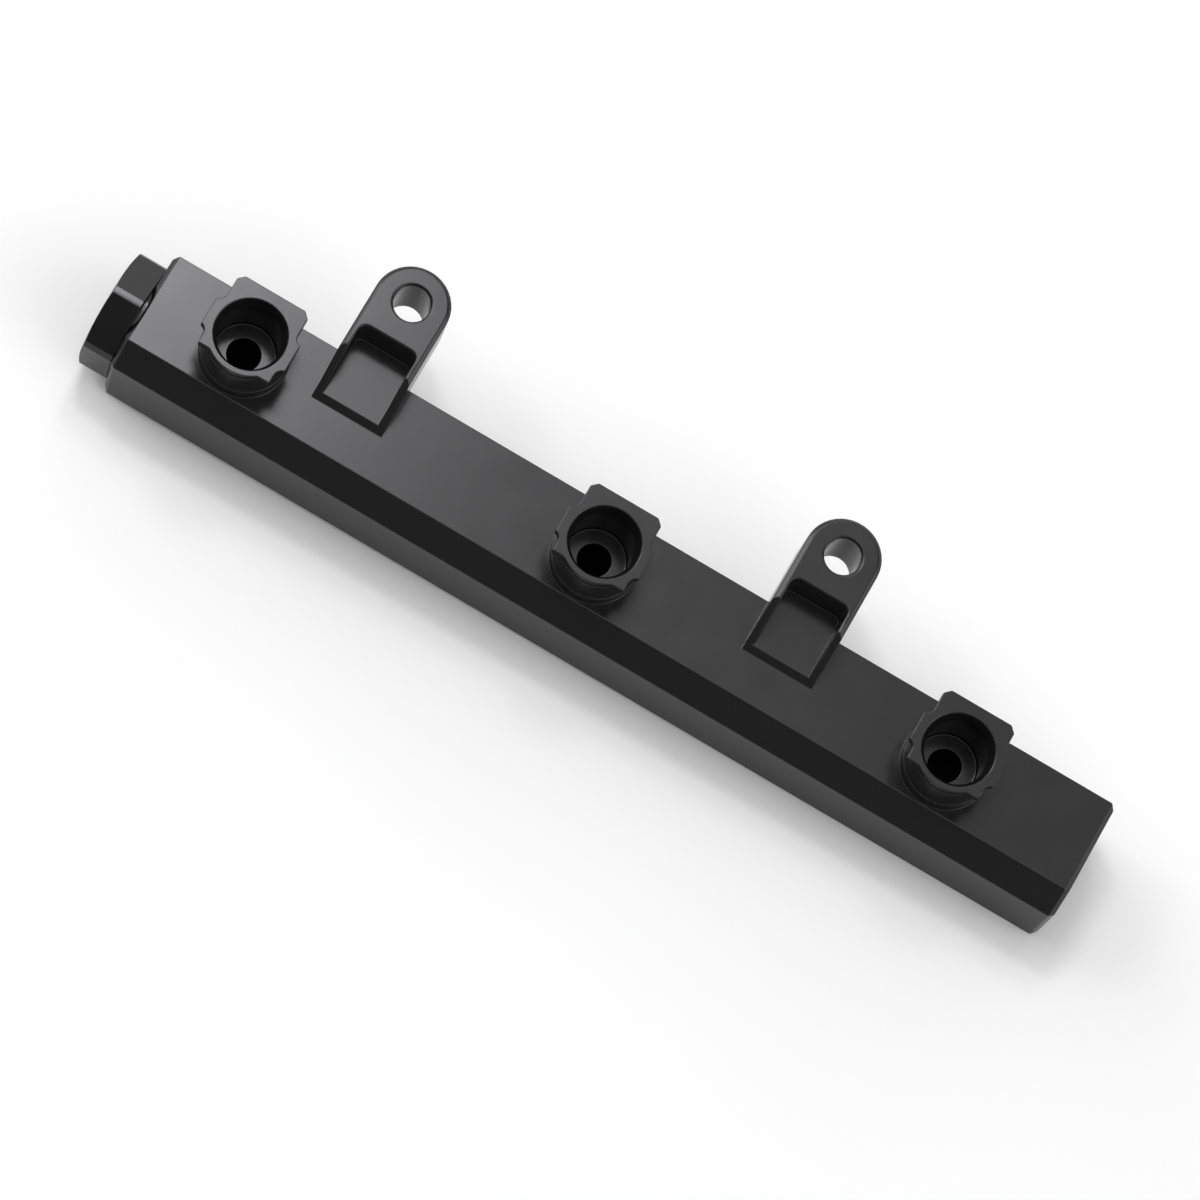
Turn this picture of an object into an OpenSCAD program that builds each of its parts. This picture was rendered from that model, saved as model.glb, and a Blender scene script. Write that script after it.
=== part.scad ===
// Fuel rail for three injectors: one machined bar with its injector cups and mounting lugs,
// closed at the left end by a hex port plug on an O-ring, with the fuel inlet port at the right end.
// X runs along the bar, Y to the back, Z out of the cups' mouths.
// The origin lies on the middle cup's axis, on the face of the bar that the cups stand on.

/* [Bar] */
// Height of the bar, from its back face to the face that the cups stand on
bar_h = 22.4; // [21:0.1:30]
// Cup axis to the bar's front wall
bar_front = 15.8; // [15:0.1:20]
// Cup axis to the bar's rear wall
bar_rear = 11.4; // [10.6:0.1:14]
// Width of the long chamfer on the front edge
edge_w = 5.6; // [1:0.1:6]
// Height of the long chamfer on the front edge
edge_h = 4.4; // [1:0.1:8]
// Chamfer round both end faces
end_break = 1.05; // [0.3:0.05:1.4]
// First cup's axis to the left end face
left_reach = 23.2; // [21:0.1:40]
// Last cup's axis to the right end face
right_reach = 35.6; // [24:0.1:60]

/* [Injector cups] */
// Distance between neighbouring cup axes
cup_pitch = 85; // [80:0.5:110]
// Height of the cup's mouth above the bar
cup_h = 13.65; // [10:0.05:18]
// Diameter of the pocket that seals on the injector's O-ring
pocket_d = 13.8; // [12.6:0.1:15]
// Depth of the pocket, from the mouth to its floor
pocket_depth = 14.3; // [11:0.1:17]
// How far the lead-in cone opens the pocket, on the radius
lead_w = 0.9; // [0.3:0.05:1.2]
// Depth of the lead-in cone
lead_depth = 2.2; // [0.8:0.05:3]
// Edge break at the mouth
mouth_break = 0.2; // [0.1:0.05:0.6]
// Wall of the round barrel under the flange
barrel_wall = 2.5; // [2:0.1:3]
// How far the ring at the barrel's foot stands proud
foot_lip = 0.2; // [0.1:0.05:0.4]
// Height of the ring at the barrel's foot
foot_h = 3.3; // [1:0.1:6]
// Diameter of the feed hole in the pocket's floor
feed_d = 7.2; // [4:0.1:9]

/* [Clip flange] */
// Thickness of the flange
flange_t = 2; // [1:0.1:4]
// Width between the flange's notched sides
flange_w = 17; // [16:0.1:18]
// Cup axis to the flange's straight rear edge
flange_rear = 10.45; // [9:0.05:12]
// Chamfer on the flange's two rear corners
flange_corner = 1.35; // [0.3:0.05:3]
// Cup axis to the front edges of the flange's ears
ear_front = 7.15; // [6.2:0.05:8]
// How far the round front of the flange stays inside the barrel
front_inset = 0.25; // [0.1:0.05:0.5]
// Width across the flange's two side lobes
lobe_w = 20.05; // [19:0.05:22]
// Length of a side lobe, along Y
lobe_len = 6.5; // [4:0.1:8]
// Radius of the four clip notches beside the lobes
notch_r = 1.85; // [1.6:0.05:2.2]
// Blend between the ears and the round front
ear_blend = 1.2; // [0.5:0.1:2]

/* [Mounting lugs] */
// First cup's axis to the left lug's axis
lug_1_step = 25.1; // [20:0.1:55]
// Middle cup's axis to the right lug's axis
lug_2_step = 44.4; // [20:0.1:55]
// Width of a lug
lug_w = 16.8; // [14:0.1:19]
// Height of the lugs' seat above the bar
lug_h = 10.8; // [8:0.1:14]
// Thickness of the tab that the bolt goes through
lug_t = 15; // [13:0.1:20]
// Cup axis to the bolt hole's axis
lug_reach = 24.75; // [22:0.05:34]
// Diameter of the bolt hole
lug_hole_d = 8; // [5:0.1:9]
// Edge break at both ends of the bolt hole
lug_hole_break = 0.37; // [0.1:0.05:0.8]
// Chamfer round the top of the tab
lug_break = 0.85; // [0.3:0.05:1.2]
// Y of the ramp's top edge
ramp_top_y = 9.75; // [8:0.05:10.5]
// Y of the ramp's foot on the bar
ramp_foot_y = -0.55; // [-4:0.05:2]
// Wall left beside the lug's pocket
lug_wall = 1.65; // [1.2:0.05:3]
// Y of the lug pocket's rear wall
lug_pocket_rear = 15.65; // [13:0.05:16]
// Height of the lug pocket's floor above the bar
lug_floor = 1.4; // [0.5:0.05:3]
// Radius of the lug pocket's two rear corners
lug_pocket_r = 1.9; // [0.8:0.1:3]

/* [Fuel passage and ports] */
// Diameter of the passage along the bar
passage_d = 13; // [8:0.1:14]
// How far the passage lies in front of the cup axes
passage_shift = 2.7; // [0:0.1:4]
// Diameter of the left port's bore inside its thread
port_d = 16.4; // [14.5:0.1:17]
// Depth of the left port's thread
port_depth = 14; // [13:0.5:17]
// Diameter of the spot face round the left port
spot_d = 22.2; // [21:0.1:24]
// Depth of the spot face round the left port
spot_depth = 0.8; // [0.2:0.05:1.2]
// Diameter of the inlet port's bore inside its thread
inlet_d = 16.4; // [14.5:0.1:16.8]
// Depth of the inlet port's thread
inlet_depth = 13; // [8:0.5:18]
// Diameter of the spot face round the inlet port
inlet_spot_d = 19.8; // [19.7:0.1:22]
// Depth of the spot face round the inlet port
inlet_spot_depth = 0.5; // [0.1:0.05:1]

/* [Port plug] */
// Hexagon across flats
hex_af = 23.9; // [20:0.1:26]
// How far the hexagon's corners are turned down, on the radius
hex_corner_cut = 0.45; // [0.1:0.05:1]
// Length of the hexagon
hex_len = 7.05; // [5:0.05:12]
// Slope of the chamfer on the outer end, in degrees from the end face
hex_chamfer = 14; // [8:1:45]
// How far the flat of the outer end stays inside the hexagon's flats
hex_face_inset = 0.1; // [0.1:0.1:2]
// Gap between the hexagon and the bar's end face
head_gap = 0.1; // [0.05:0.05:1.5]
// How far the round seat under the hexagon stays inside the spot face
seat_gap = 0.2; // [0.1:0.05:0.5]
// Length of the threaded shank
shank_len = 12; // [8:0.5:13]
// Clearance of the shank in the bore, on the radius
shank_gap = 0.06; // [0.03:0.01:0.1]
// Chamfer on the shank's end
shank_break = 1; // [0.5:0.1:2]
// Depth of the relief behind the seat, which holds the ring, below the port's bore
neck_relief = 0.6; // [0.3:0.05:1]

/* [O-ring seats] */
// Thickness of the rubber ring
ring_t = 2.2; // [2:0.05:2.3]
// How much the seat squeezes the ring
ring_squeeze = 0.3; // [0.1:0.05:0.5]
// Room left below the ring in its seat
ring_room = 0.2; // [0.1:0.05:0.6]
// Slope of the ring seat's wall, in degrees from the axis
ring_seat_slope = 15; // [10:1:20]

/* [Hidden] */
$fn = 96;
over = 1;                                   // cutters run this far past a face
anodised_black = "#3b3b3d";
plug_black = "#454547";
rubber_black = "#1b1b1c";

cup_xs = [for (i = [-1:1]) i * cup_pitch];
lug_xs = [cup_xs[0] + lug_1_step, cup_xs[1] + lug_2_step];
left_x = cup_xs[0] - left_reach;
right_x = cup_xs[2] + right_reach;
bar_len = right_x - left_x;
floor_z = cup_h - pocket_depth;             // floor of the injector pockets

pocket_r = pocket_d / 2;
barrel_r = pocket_r + barrel_wall;
front_r = barrel_r - front_inset;
passage_y = -passage_shift;
passage_z = -bar_h / 2;
seat_x = left_x + spot_depth;               // the plug seats on the spot face here
hex_inner_x = left_x - head_gap;
neck_r = port_d / 2 - neck_relief;
// the ring's seat: depth, half width at the spot face past the port's bore, and narrowing
ring_seat_depth = ring_t + ring_room;
ring_seat_w = ring_t * (1 + tan(ring_seat_slope) / 2) - ring_squeeze - neck_relief;
ring_seat_taper = ring_seat_depth * tan(ring_seat_slope);

// Section of the bar, with the long chamfer on its upper front edge.
module bar_outline() {
    polygon([[-bar_front, -bar_h], [bar_rear, -bar_h], [bar_rear, 0],
             [edge_w - bar_front, 0], [-bar_front, -edge_h]]);
}

// The bar. Its section shrinks to the inset one at both ends, which gives the end chamfers.
module bar() {
    hull() for (inset = [0, end_break])
        translate([left_x + end_break - inset, 0, 0]) rotate([90, 0, 90])
            linear_extrude(bar_len - 2 * (end_break - inset)) offset(delta = -inset) bar_outline();
}

// Outline of the clip flange, seen from above. The clip's legs sit in the four round notches.
module flange_outline() {
    side = flange_w / 2;
    lobe_out = lobe_w / 2 - side;
    // a notch starts at the flange's side and ends at the lobe's corner
    notch_run = sqrt(notch_r * notch_r - pow(notch_r - lobe_out, 2));
    notch_y = lobe_len / 2 + notch_run;
    blend_x = sqrt(pow(front_r + ear_blend, 2) - pow(ear_front + ear_blend, 2));
    difference() {
        union() {
            circle(r = front_r);
            polygon([[-side, -ear_front], [side, -ear_front],
                     [side, flange_rear - flange_corner], [side - flange_corner, flange_rear],
                     [flange_corner - side, flange_rear], [-side, flange_rear - flange_corner]]);
            square([lobe_w, 2 * notch_y], center = true);
            // corner fills that the blends are cut from
            for (s = [-1, 1])
                polygon([[0, -ear_front], [s * blend_x, -ear_front],
                         [s * blend_x * front_r / (front_r + ear_blend),
                          -(ear_front + ear_blend) * front_r / (front_r + ear_blend)]]);
        }
        for (s = [-1, 1]) {
            for (t = [-1, 1]) translate([s * (side + notch_r), t * notch_y]) circle(r = notch_r);
            translate([s * blend_x, -ear_front - ear_blend]) circle(r = ear_blend);
        }
    }
}

// One injector cup without its pocket: foot ring, barrel and clip flange.
module cup() {
    translate([0, 0, -over]) {
        cylinder(r = barrel_r, h = cup_h - flange_t + over);
        cylinder(r = barrel_r + foot_lip, h = foot_h + over);
    }
    translate([0, 0, cup_h - flange_t]) linear_extrude(flange_t) flange_outline();
}

// The injector pocket: mouth break, lead-in cone, sealing bore and feed hole to the passage.
module pocket() {
    lead_r = pocket_r + lead_w;
    lead_top = cup_h - mouth_break;
    rotate_extrude() polygon([[0, floor_z], [pocket_r, floor_z],
        [pocket_r, lead_top - lead_depth], [lead_r, lead_top],
        [lead_r + mouth_break + over, cup_h + over], [0, cup_h + over]]);
    translate([0, 0, passage_z]) cylinder(d = feed_d, h = floor_z + over - passage_z);
}

// One lug before its cuts: a block with a round end, chamfered round the top.
module lug_block() {
    side = lug_w / 2;
    flat = side - lug_break;
    translate([0, lug_reach, lug_h - lug_t]) {
        rotate_extrude() polygon([[0, 0], [side, 0], [side, lug_t - lug_break],
                                  [flat, lug_t], [0, lug_t]]);
        rotate([90, 0, 0]) linear_extrude(lug_reach - ramp_foot_y)
            polygon([[-side, 0], [side, 0], [side, lug_t - lug_break], [flat, lug_t],
                     [-flat, lug_t], [-side, lug_t - lug_break]]);
    }
}

// Outline of the pocket in a lug's ramp. Its front edge lies where the ramp meets its floor.
module lug_pocket_outline() {
    half = lug_w / 2 - lug_wall;
    front_y = ramp_foot_y + lug_floor * (ramp_top_y - ramp_foot_y) / lug_h;
    round_y = lug_pocket_rear - lug_pocket_r;
    translate([-half, front_y]) square([2 * half, round_y - front_y]);
    translate([lug_pocket_r - half, front_y])
        square([2 * (half - lug_pocket_r), lug_pocket_rear - front_y]);
    for (s = [-1, 1]) translate([s * (half - lug_pocket_r), round_y]) circle(r = lug_pocket_r);
}

// A mounting lug with its ramp, pocket and bolt hole.
module lug() {
    hole_r = lug_hole_d / 2;
    rise = lug_h / (ramp_top_y - ramp_foot_y);
    difference() {
        lug_block();
        translate([-lug_w, 0, 0]) rotate([90, 0, 90]) linear_extrude(2 * lug_w)
            polygon([[ramp_foot_y - over, -over * rise], [ramp_top_y + over, lug_h + over * rise],
                     [ramp_foot_y - over, lug_h + over * rise]]);
        translate([0, 0, lug_floor]) linear_extrude(lug_h) lug_pocket_outline();
        translate([0, lug_reach, lug_h - lug_t]) rotate_extrude()
            polygon([[0, -over], [hole_r + lug_hole_break + over, -over],
                     [hole_r, lug_hole_break], [hole_r, lug_t - lug_hole_break],
                     [hole_r + lug_hole_break + over, lug_t + over], [0, lug_t + over]]);
    }
}

// Cutter for an O-ring port, along +X from the spot face: face, ring seat and threaded bore.
module port_cut(bore_d, depth, face_d) {
    bore_r = bore_d / 2;
    seat_r = bore_r + ring_seat_w;
    rotate([0, 90, 0]) rotate_extrude()
        polygon([[0, -over], [face_d / 2, -over], [face_d / 2, 0], [seat_r, 0],
                 [seat_r - ring_seat_taper, ring_seat_depth],
                 [bore_r, ring_seat_depth], [bore_r, depth], [0, depth]]);
}

module rail_body() {
    color(anodised_black) difference() {
        union() {
            bar();
            for (x = cup_xs) translate([x, 0, 0]) cup();
            for (x = lug_xs) translate([x, 0, 0]) lug();
        }
        for (x = cup_xs) translate([x, 0, 0]) pocket();
        translate([seat_x, passage_y, passage_z]) {
            port_cut(port_d, port_depth, spot_d);
            rotate([0, 90, 0]) cylinder(d = passage_d, h = right_x - seat_x - inlet_spot_depth - over);
        }
        translate([right_x - inlet_spot_depth, passage_y, passage_z]) mirror([1, 0, 0])
            port_cut(inlet_d, inlet_depth, inlet_spot_d);
    }
}

// The plug: hexagon with turned corners, round seat, relief for the ring, and shank.
module port_plug() {
    corner_r = hex_af / 2 / cos(30);
    turned_r = corner_r - hex_corner_cut;
    face_r = hex_af / 2 - hex_face_inset;
    seat_r = spot_d / 2 - seat_gap;
    seat_t = seat_x - hex_inner_x;
    shank_r = port_d / 2 - shank_gap;
    neck_end = seat_t + ring_seat_depth;
    end = seat_t + shank_len;
    color(plug_black) translate([hex_inner_x, passage_y, passage_z]) rotate([0, 90, 0]) {
        translate([0, 0, -hex_len]) intersection() {
            cylinder(r = corner_r, h = hex_len, $fn = 6);
            rotate_extrude() polygon([[0, 0], [face_r, 0],
                [turned_r, (turned_r - face_r) * tan(hex_chamfer)], [turned_r, hex_len], [0, hex_len]]);
        }
        rotate_extrude() polygon([[0, 0], [seat_r, 0], [seat_r, seat_t], [neck_r, seat_t],
            [neck_r, neck_end], [shank_r, neck_end + shank_r - neck_r],
            [shank_r, end - shank_break], [shank_r - shank_break, end], [0, end]]);
    }
}

// The rubber ring, squeezed into the space between the plug's relief and the port's seat.
module plug_ring() {
    seat_r = port_d / 2 + ring_seat_w;
    color(rubber_black) translate([seat_x, passage_y, passage_z]) rotate([0, 90, 0])
        rotate_extrude() intersection() {
            translate([neck_r + ring_t / 2, ring_t / 2]) circle(d = ring_t);
            polygon([[neck_r, 0], [seat_r, 0], [seat_r - ring_seat_taper, ring_seat_depth],
                     [neck_r, ring_seat_depth]]);
        }
}

rail_body();
port_plug();
plug_ring();
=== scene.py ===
from math import hypot, radians

import bmesh
import bpy
from mathutils import Matrix, Vector


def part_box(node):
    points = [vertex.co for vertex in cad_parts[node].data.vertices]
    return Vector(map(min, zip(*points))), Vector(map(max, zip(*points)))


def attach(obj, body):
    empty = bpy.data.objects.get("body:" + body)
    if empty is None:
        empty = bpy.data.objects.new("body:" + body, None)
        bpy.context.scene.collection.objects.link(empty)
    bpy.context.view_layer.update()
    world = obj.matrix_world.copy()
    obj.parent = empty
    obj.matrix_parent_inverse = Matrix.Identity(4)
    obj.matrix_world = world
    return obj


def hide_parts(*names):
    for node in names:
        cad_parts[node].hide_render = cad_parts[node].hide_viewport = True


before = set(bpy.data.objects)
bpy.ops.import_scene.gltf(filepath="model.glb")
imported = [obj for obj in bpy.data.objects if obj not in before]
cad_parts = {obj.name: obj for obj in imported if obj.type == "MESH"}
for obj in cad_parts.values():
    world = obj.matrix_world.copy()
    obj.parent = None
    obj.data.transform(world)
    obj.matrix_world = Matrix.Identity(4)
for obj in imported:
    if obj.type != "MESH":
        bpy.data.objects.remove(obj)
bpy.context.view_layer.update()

# Rail body: one billet of aluminium, milled to the bar with its three injector cups and two lugs.
# Every edge is broken by hand after milling. The whole piece is bead blasted, then hard anodised
# and dyed black, which leaves an even satin skin with a soft sheen.
MM = 0.001


def linear(code):
    """An sRGB hex colour as linear RGBA."""
    parts = [int(code[i:i + 2], 16) / 255 for i in (1, 3, 5)]
    return [c / 12.92 if c <= 0.04045 else ((c + 0.055) / 1.055) ** 2.4 for c in parts] + [1.0]


def add(tree, kind, inputs=None, **settings):
    """Adds a node. An input takes a value, or the socket of another node that feeds it."""
    node = tree.nodes.new(kind)
    for name, value in settings.items():
        setattr(node, name, value)
    for name, value in (inputs or {}).items():
        if isinstance(value, bpy.types.NodeSocket):
            tree.links.new(value, node.inputs[name])
        else:
            node.inputs[name].default_value = value
    return node


def keep_flats_flat(mesh):
    """Shades the broken edges round. A vertex leans to the largest flat that it lies on."""
    one_flat = 0.99999                              # least dot product of two faces on one flat
    shape = bmesh.new()
    shape.from_mesh(mesh)
    flat_area = {}
    for start in shape.faces:
        if start in flat_area:
            continue
        flat, todo = {start}, [start]
        while todo:
            face = todo.pop()
            for other in (other for edge in face.edges for other in edge.link_faces):
                if other in flat or other in flat_area:
                    continue
                if other.normal.dot(start.normal) > one_flat:
                    flat.add(other)
                    todo.append(other)
        area = sum(face.calc_area() for face in flat)
        for face in flat:
            flat_area[face] = area
    normals = []
    for vertex in shape.verts:
        lean = Vector()
        for face in vertex.link_faces:
            lean += face.normal * flat_area[face]
        normals.append(lean.normalized())
    shape.free()
    mesh.normals_split_custom_set_from_vertices(normals)


def alike(a, b):
    """Whether two heights in mm are the same."""
    return abs(a - b) < 0.01


def machined(node_name, name, edge_break):
    """A copy of a CAD node with its edges broken: loose triangles merged, then bevelled.

    edge_break gives the width in mm by the edge's middle and by whether the edge lies level.
    """
    merge_gap, least_edge = 0.002 * MM, radians(18)
    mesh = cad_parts[node_name].data.copy()
    for stale in ("custom_normal", "sharp_edge", "sharp_face"):
        if stale in mesh.attributes:
            mesh.attributes.remove(mesh.attributes[stale])
    shape = bmesh.new()
    shape.from_mesh(mesh)
    bmesh.ops.remove_doubles(shape, verts=shape.verts, dist=merge_gap)
    share = shape.edges.layers.float.new("bevel_weight_edge")
    for edge in shape.edges:
        if len(edge.link_faces) == 2 and edge.calc_face_angle() > least_edge:
            start, end = (vertex.co / MM for vertex in edge.verts)
            edge[share] = edge_break((start + end) / 2, alike(start.z, end.z))
    for face in shape.faces:
        face.smooth = True
    shape.to_mesh(mesh)
    shape.free()
    raw = bpy.data.objects.new(name + " cut", mesh)
    bpy.context.collection.objects.link(raw)
    edges = raw.modifiers.new("broken edges", "BEVEL")
    edges.width = 1 * MM                            # times the edge's own share
    edges.segments = 2
    edges.limit_method = "WEIGHT"
    edges.use_clamp_overlap = False
    edges.loop_slide = False
    finished = raw.evaluated_get(bpy.context.evaluated_depsgraph_get())
    done = bpy.data.meshes.new_from_object(finished)
    bpy.data.objects.remove(raw)
    done.name = name
    done.materials.clear()
    keep_flats_flat(done)
    piece = bpy.data.objects.new(name, done)
    bpy.context.collection.objects.link(piece)
    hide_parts(node_name)
    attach(piece, "root")
    return piece


def rail_edge(at, level):
    """How far an edge of the rail is broken or filleted, in mm, by where its middle is."""
    passage_y, passage_z, bore_r, spot_r = -2.7, -11.2, 7.6, 11.2
    bore_left, left_spot, right_spot = -107, -106.5, 119
    from_passage = hypot(at.y - passage_y, at.z - passage_z)
    if from_passage < bore_r and bore_left < at.x < right_spot:
        return 0                                    # cross holes in the passage stay sharp
    if from_passage < spot_r and not left_spot < at.x < right_spot:
        return 0.08                                 # spot faces of the two ports

    cup_r, mouth_r, corner_r = 12, (7.5, 8.1), 6.8
    foot_top, flange_under, rim, pocket_floor = 3.3, 11.65, 13, -0.65
    from_cup = hypot(min(abs(at.x - cup) for cup in (-85, 0, 85)), at.y)
    if level and from_cup < cup_r:
        if alike(at.z, foot_top) or alike(at.z, flange_under):
            return 0.08
        if at.z > rim and mouth_r[0] < from_cup < mouth_r[1]:
            return 0.05                             # the mouth, which has its own chamfer
        if alike(at.z, pocket_floor) and from_cup > corner_r:
            return 0.3

    inner_half, floor_front, ramp_back, pocket_rear = 6.8, 1, 9.8, 15.7
    ramp_foot, lug_floor, lug_top = 1.3, 1.4, 10.8
    from_lug = min(abs(at.x - lug) for lug in (-59.9, 44.4))
    if level and from_lug < inner_half and at.y < pocket_rear:
        if alike(at.z, lug_top) and at.y > ramp_back:
            return 0.45                             # rim of the lug's pocket
        if alike(at.z, lug_floor) and at.y > floor_front:
            return 0.2                              # foot of the pocket's walls
    if not level and from_lug < inner_half and 0 < at.y < ramp_back and at.z > ramp_foot:
        return 0.35                                 # inner edges of the ramp
    return 0.2


def anodised_black(name):
    """Black hard anodising over blasted aluminium.

    The dyed film lets some of the metal's mirror through, so a flat face gives a soft grey
    picture of the lights, and it reflects less at a low angle than a varnish would.
    """
    material = bpy.data.materials.new(name)
    material.use_nodes = True
    tree = material.node_tree
    shader = tree.nodes["Principled BSDF"]
    shader.inputs["Metallic"].default_value = 0.8
    shader.inputs["Specular Tint"].default_value = (0.7, 0.7, 0.7, 1)
    place = add(tree, "ShaderNodeTexCoord").outputs["Object"]
    # the dye took a little less in cloudy patches, where the skin is also a little duller
    cloud_size = 9 * MM
    cloud = add(tree, "ShaderNodeTexNoise",
                {"Vector": place, "Scale": 1 / cloud_size, "Detail": 3.0}).outputs["Fac"]
    dyed = add(tree, "ShaderNodeMix", {"Factor": cloud}, data_type="RGBA")
    dyed.inputs["A"].default_value = linear("#373738")
    dyed.inputs["B"].default_value = linear("#3a3a3b")
    sheen = add(tree, "ShaderNodeMapRange", {"Value": cloud, "From Min": 0.3, "From Max": 0.7,
                                             "To Min": 0.18, "To Max": 0.22})
    # the blast's fine grit, drawn a little coarser than the real one so that it shows
    grit = 0.3 * MM
    blast = add(tree, "ShaderNodeTexNoise", {"Vector": place, "Scale": 1 / grit, "Detail": 2.0})
    bump = add(tree, "ShaderNodeBump", {"Height": blast.outputs["Fac"], "Strength": 0.12,
                                        "Distance": 0.02 * MM})
    tree.links.new(dyed.outputs["Result"], shader.inputs["Base Color"])
    tree.links.new(sheen.outputs["Result"], shader.inputs["Roughness"])
    tree.links.new(bump.outputs["Normal"], shader.inputs["Normal"])
    return material


rail = machined("rail_body", "rail", rail_edge)
rail.data.materials.append(anodised_black("rail black hard anodising"))

# Port plug: a hexagon bar turned and milled, with its corners turned down and a round seat that
# lands on the port's spot face. It is anodised with the rail, so its skin is the same.
plug_edge_break = 0.12
plug = machined("port_plug", "plug", lambda at, level: plug_edge_break)
plug.data.materials.append(anodised_black("plug black hard anodising"))

# Sealing ring: a nitrile rubber ring, moulded, squeezed into the port's cone behind the plug's
# seat. Its skin is dark and half dull, with a faint bloom.
rubber = bpy.data.materials.new("moulded seal rubber")
rubber.use_nodes = True
tree = rubber.node_tree
skin = tree.nodes["Principled BSDF"]
skin.inputs["Base Color"].default_value = linear("#161617")
skin.inputs["Roughness"].default_value = 0.45
place = add(tree, "ShaderNodeTexCoord").outputs["Object"]
bloom_size = 0.8 * MM
bloom = add(tree, "ShaderNodeTexNoise", {"Vector": place, "Scale": 1 / bloom_size, "Detail": 2.0})
bump = add(tree, "ShaderNodeBump", {"Height": bloom.outputs["Fac"], "Strength": 0.1,
                                    "Distance": 0.03 * MM})
tree.links.new(bump.outputs["Normal"], skin.inputs["Normal"])
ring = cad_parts["plug_ring"]
ring.data.materials.clear()
ring.data.materials.append(rubber)

# Floor: a plain white table. The plug's hexagon is taller than the bar, so the part lies on the
# hexagon's lower corner and on the lower edge of the bar's other end, and the floor follows that.
(hex_x, _, hex_low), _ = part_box("port_plug")
(_, _, bar_low), (end_x, _, _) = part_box("rail_body")
slope = (bar_low - hex_low) / (end_x - hex_x)
half = 3.0
corners = [(x, y, hex_low + (x - hex_x) * slope) for x, y in
           ((-half, -half), (half, -half), (half, half), (-half, half))]
floor_mesh = bpy.data.meshes.new("table")
floor_mesh.from_pydata(corners, [], [(0, 1, 2, 3)])
floor = bpy.data.objects.new("table", floor_mesh)
bpy.context.collection.objects.link(floor)
white = bpy.data.materials.new("white table")
white.use_nodes = True
paint = white.node_tree.nodes["Principled BSDF"]
paint.inputs["Base Color"].default_value = linear("#f4f4f4")
paint.inputs["Roughness"].default_value = 0.9
floor_mesh.materials.append(white)

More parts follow.
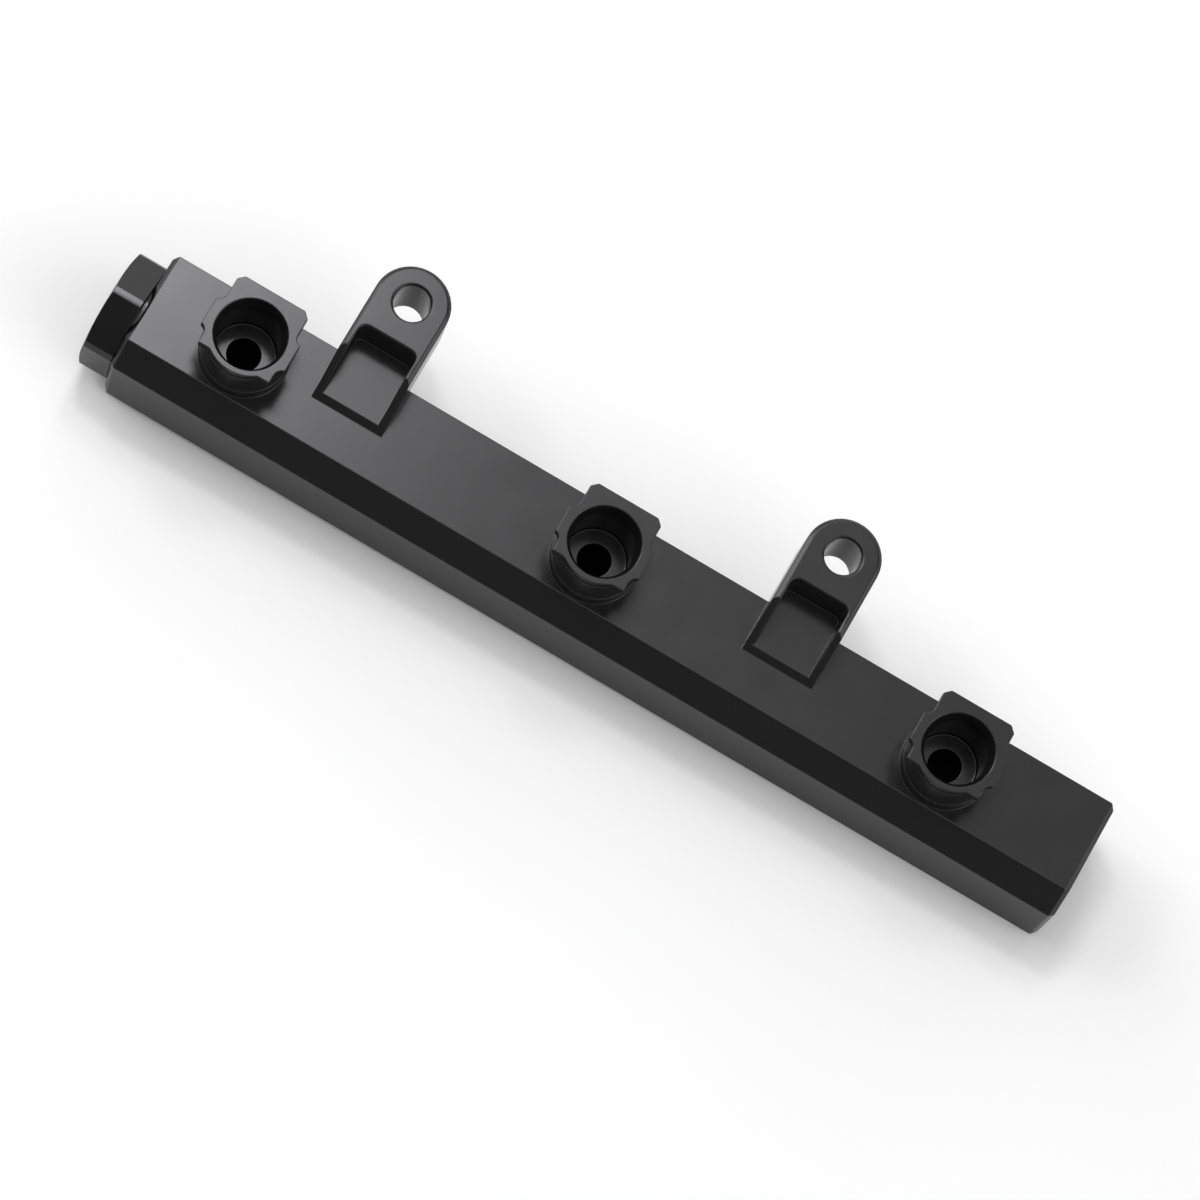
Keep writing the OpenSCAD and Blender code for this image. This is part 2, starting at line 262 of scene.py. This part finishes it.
# Light: a studio with soft light all round, strongest at the left and behind, and dark low in
# front. Each patch of the surround has its direction, its strength and its power: the higher
# the power, the narrower the patch.
world = bpy.data.worlds.new("studio")
world.use_nodes = True
bpy.context.scene.world = world
tree = world.node_tree
tree.nodes.clear()
way = add(tree, "ShaderNodeTexCoord").outputs["Generated"]
light = add(tree, "ShaderNodeValue").outputs["Value"]
light.default_value = 0.023                         # a dim light from everywhere
for toward, strength, power in (
    ((-0.88, 0.36, 0.29), 3, 14),
    ((-0.1, 0.12, 0.99), 1.67, 60),
    ((0.9, -0.2, 0.4), 1.6, 14),
    ((-0.86, 0.04, 0.51), 1.6, 14),
    ((-0.1, 0.48, 0.87), 1.34, 60),
    ((0.78, 0.1, 0.61), 1.27, 14),
    ((-0.25, 0.94, 0.21), 1.24, 14),
    ((1, 0, 0.05), 0.9, 14),
    ((0, -0.3, 0.95), 0.84, 60),
    ((0.28, 0.9, 0.35), 0.69, 14),
    ((0.28, -0.02, 0.96), 0.6, 14),
    ((0.6, -0.28, 0.75), 0.54, 14),
    ((-0.15, 0.3, 0.94), 0.5, 60),
    ((-0.3, -0.05, 0.95), 0.49, 60),
    ((-0.04, 0.83, 0.56), 0.46, 14),
    ((0.91, 0.33, 0.27), 0.41, 14),
    ((0.4, -0.86, 0.32), 0.35, 14),
    ((-0.45, -0.86, 0.24), 0.28, 14),
    ((-0.32, 0.3, 0.9), 0.19, 60),
    ((-0.28, -0.22, 0.93), 0.17, 14),
    ((-0.5, 0.13, 0.85), 0.12, 14),
    ((-0.12, -0.88, 0.45), 0.06, 14),
    ((-0.95, 0.3, 0.03), 2.5, 60),
    ((0.95, 0.3, 0.03), 1.8, 60),
):
    facing = add(tree, "ShaderNodeVectorMath", {0: way, 1: Vector(toward).normalized()},
                 operation="DOT_PRODUCT")
    front = add(tree, "ShaderNodeMath", {0: facing.outputs["Value"], 1: 0.0}, operation="MAXIMUM")
    patch = add(tree, "ShaderNodeMath", {0: front.outputs["Value"], 1: power}, operation="POWER")
    light = add(tree, "ShaderNodeMath", {0: patch.outputs["Value"], 1: strength, 2: light},
                operation="MULTIPLY_ADD").outputs["Value"]
sky = add(tree, "ShaderNodeBackground", {"Color": (1, 1, 1, 1), "Strength": light})
add(tree, "ShaderNodeOutputWorld", {"Surface": sky.outputs["Background"]})

# Lamps: small square soft boxes one metre above the part, turned to it.
box_height, box_side = 1.0, 0.16
for x, y, watts in ((-0.95, 0.1, 0.9), (-0.35, 0.35, 1.7), (-0.2, 0.35, 0.5), (-0.2, 0.6, 1.1)):
    data = bpy.data.lights.new("soft box", "AREA")
    data.shape = "SQUARE"
    data.size = box_side
    data.energy = watts
    lamp = bpy.data.objects.new("soft box", data)
    place = Vector((x, y, box_height))
    turn = (-place).to_track_quat("-Z", "Y")
    lamp.matrix_world = Matrix.Translation(place) @ turn.to_matrix().to_4x4()
    bpy.context.collection.objects.link(lamp)

# Camera: a long lens high above the part's front, rolled so that the bar runs across the frame.
tilt, yaw, roll = radians(17.551), radians(0.185), radians(30.566)
stand = (0.00394, -0.40969, 1.27290)
view = bpy.data.cameras.new("camera")
view.sensor_width = 36
view.lens = 191.8
view.clip_end = 20
camera = bpy.data.objects.new("camera", view)
camera.matrix_world = (Matrix.Translation(stand) @ Matrix.Rotation(-yaw, 4, "Z")
                       @ Matrix.Rotation(tilt, 4, "X") @ Matrix.Rotation(roll, 4, "Z"))
bpy.context.collection.objects.link(camera)
bpy.context.scene.camera = camera
bpy.context.scene.view_settings.view_transform = "Standard"
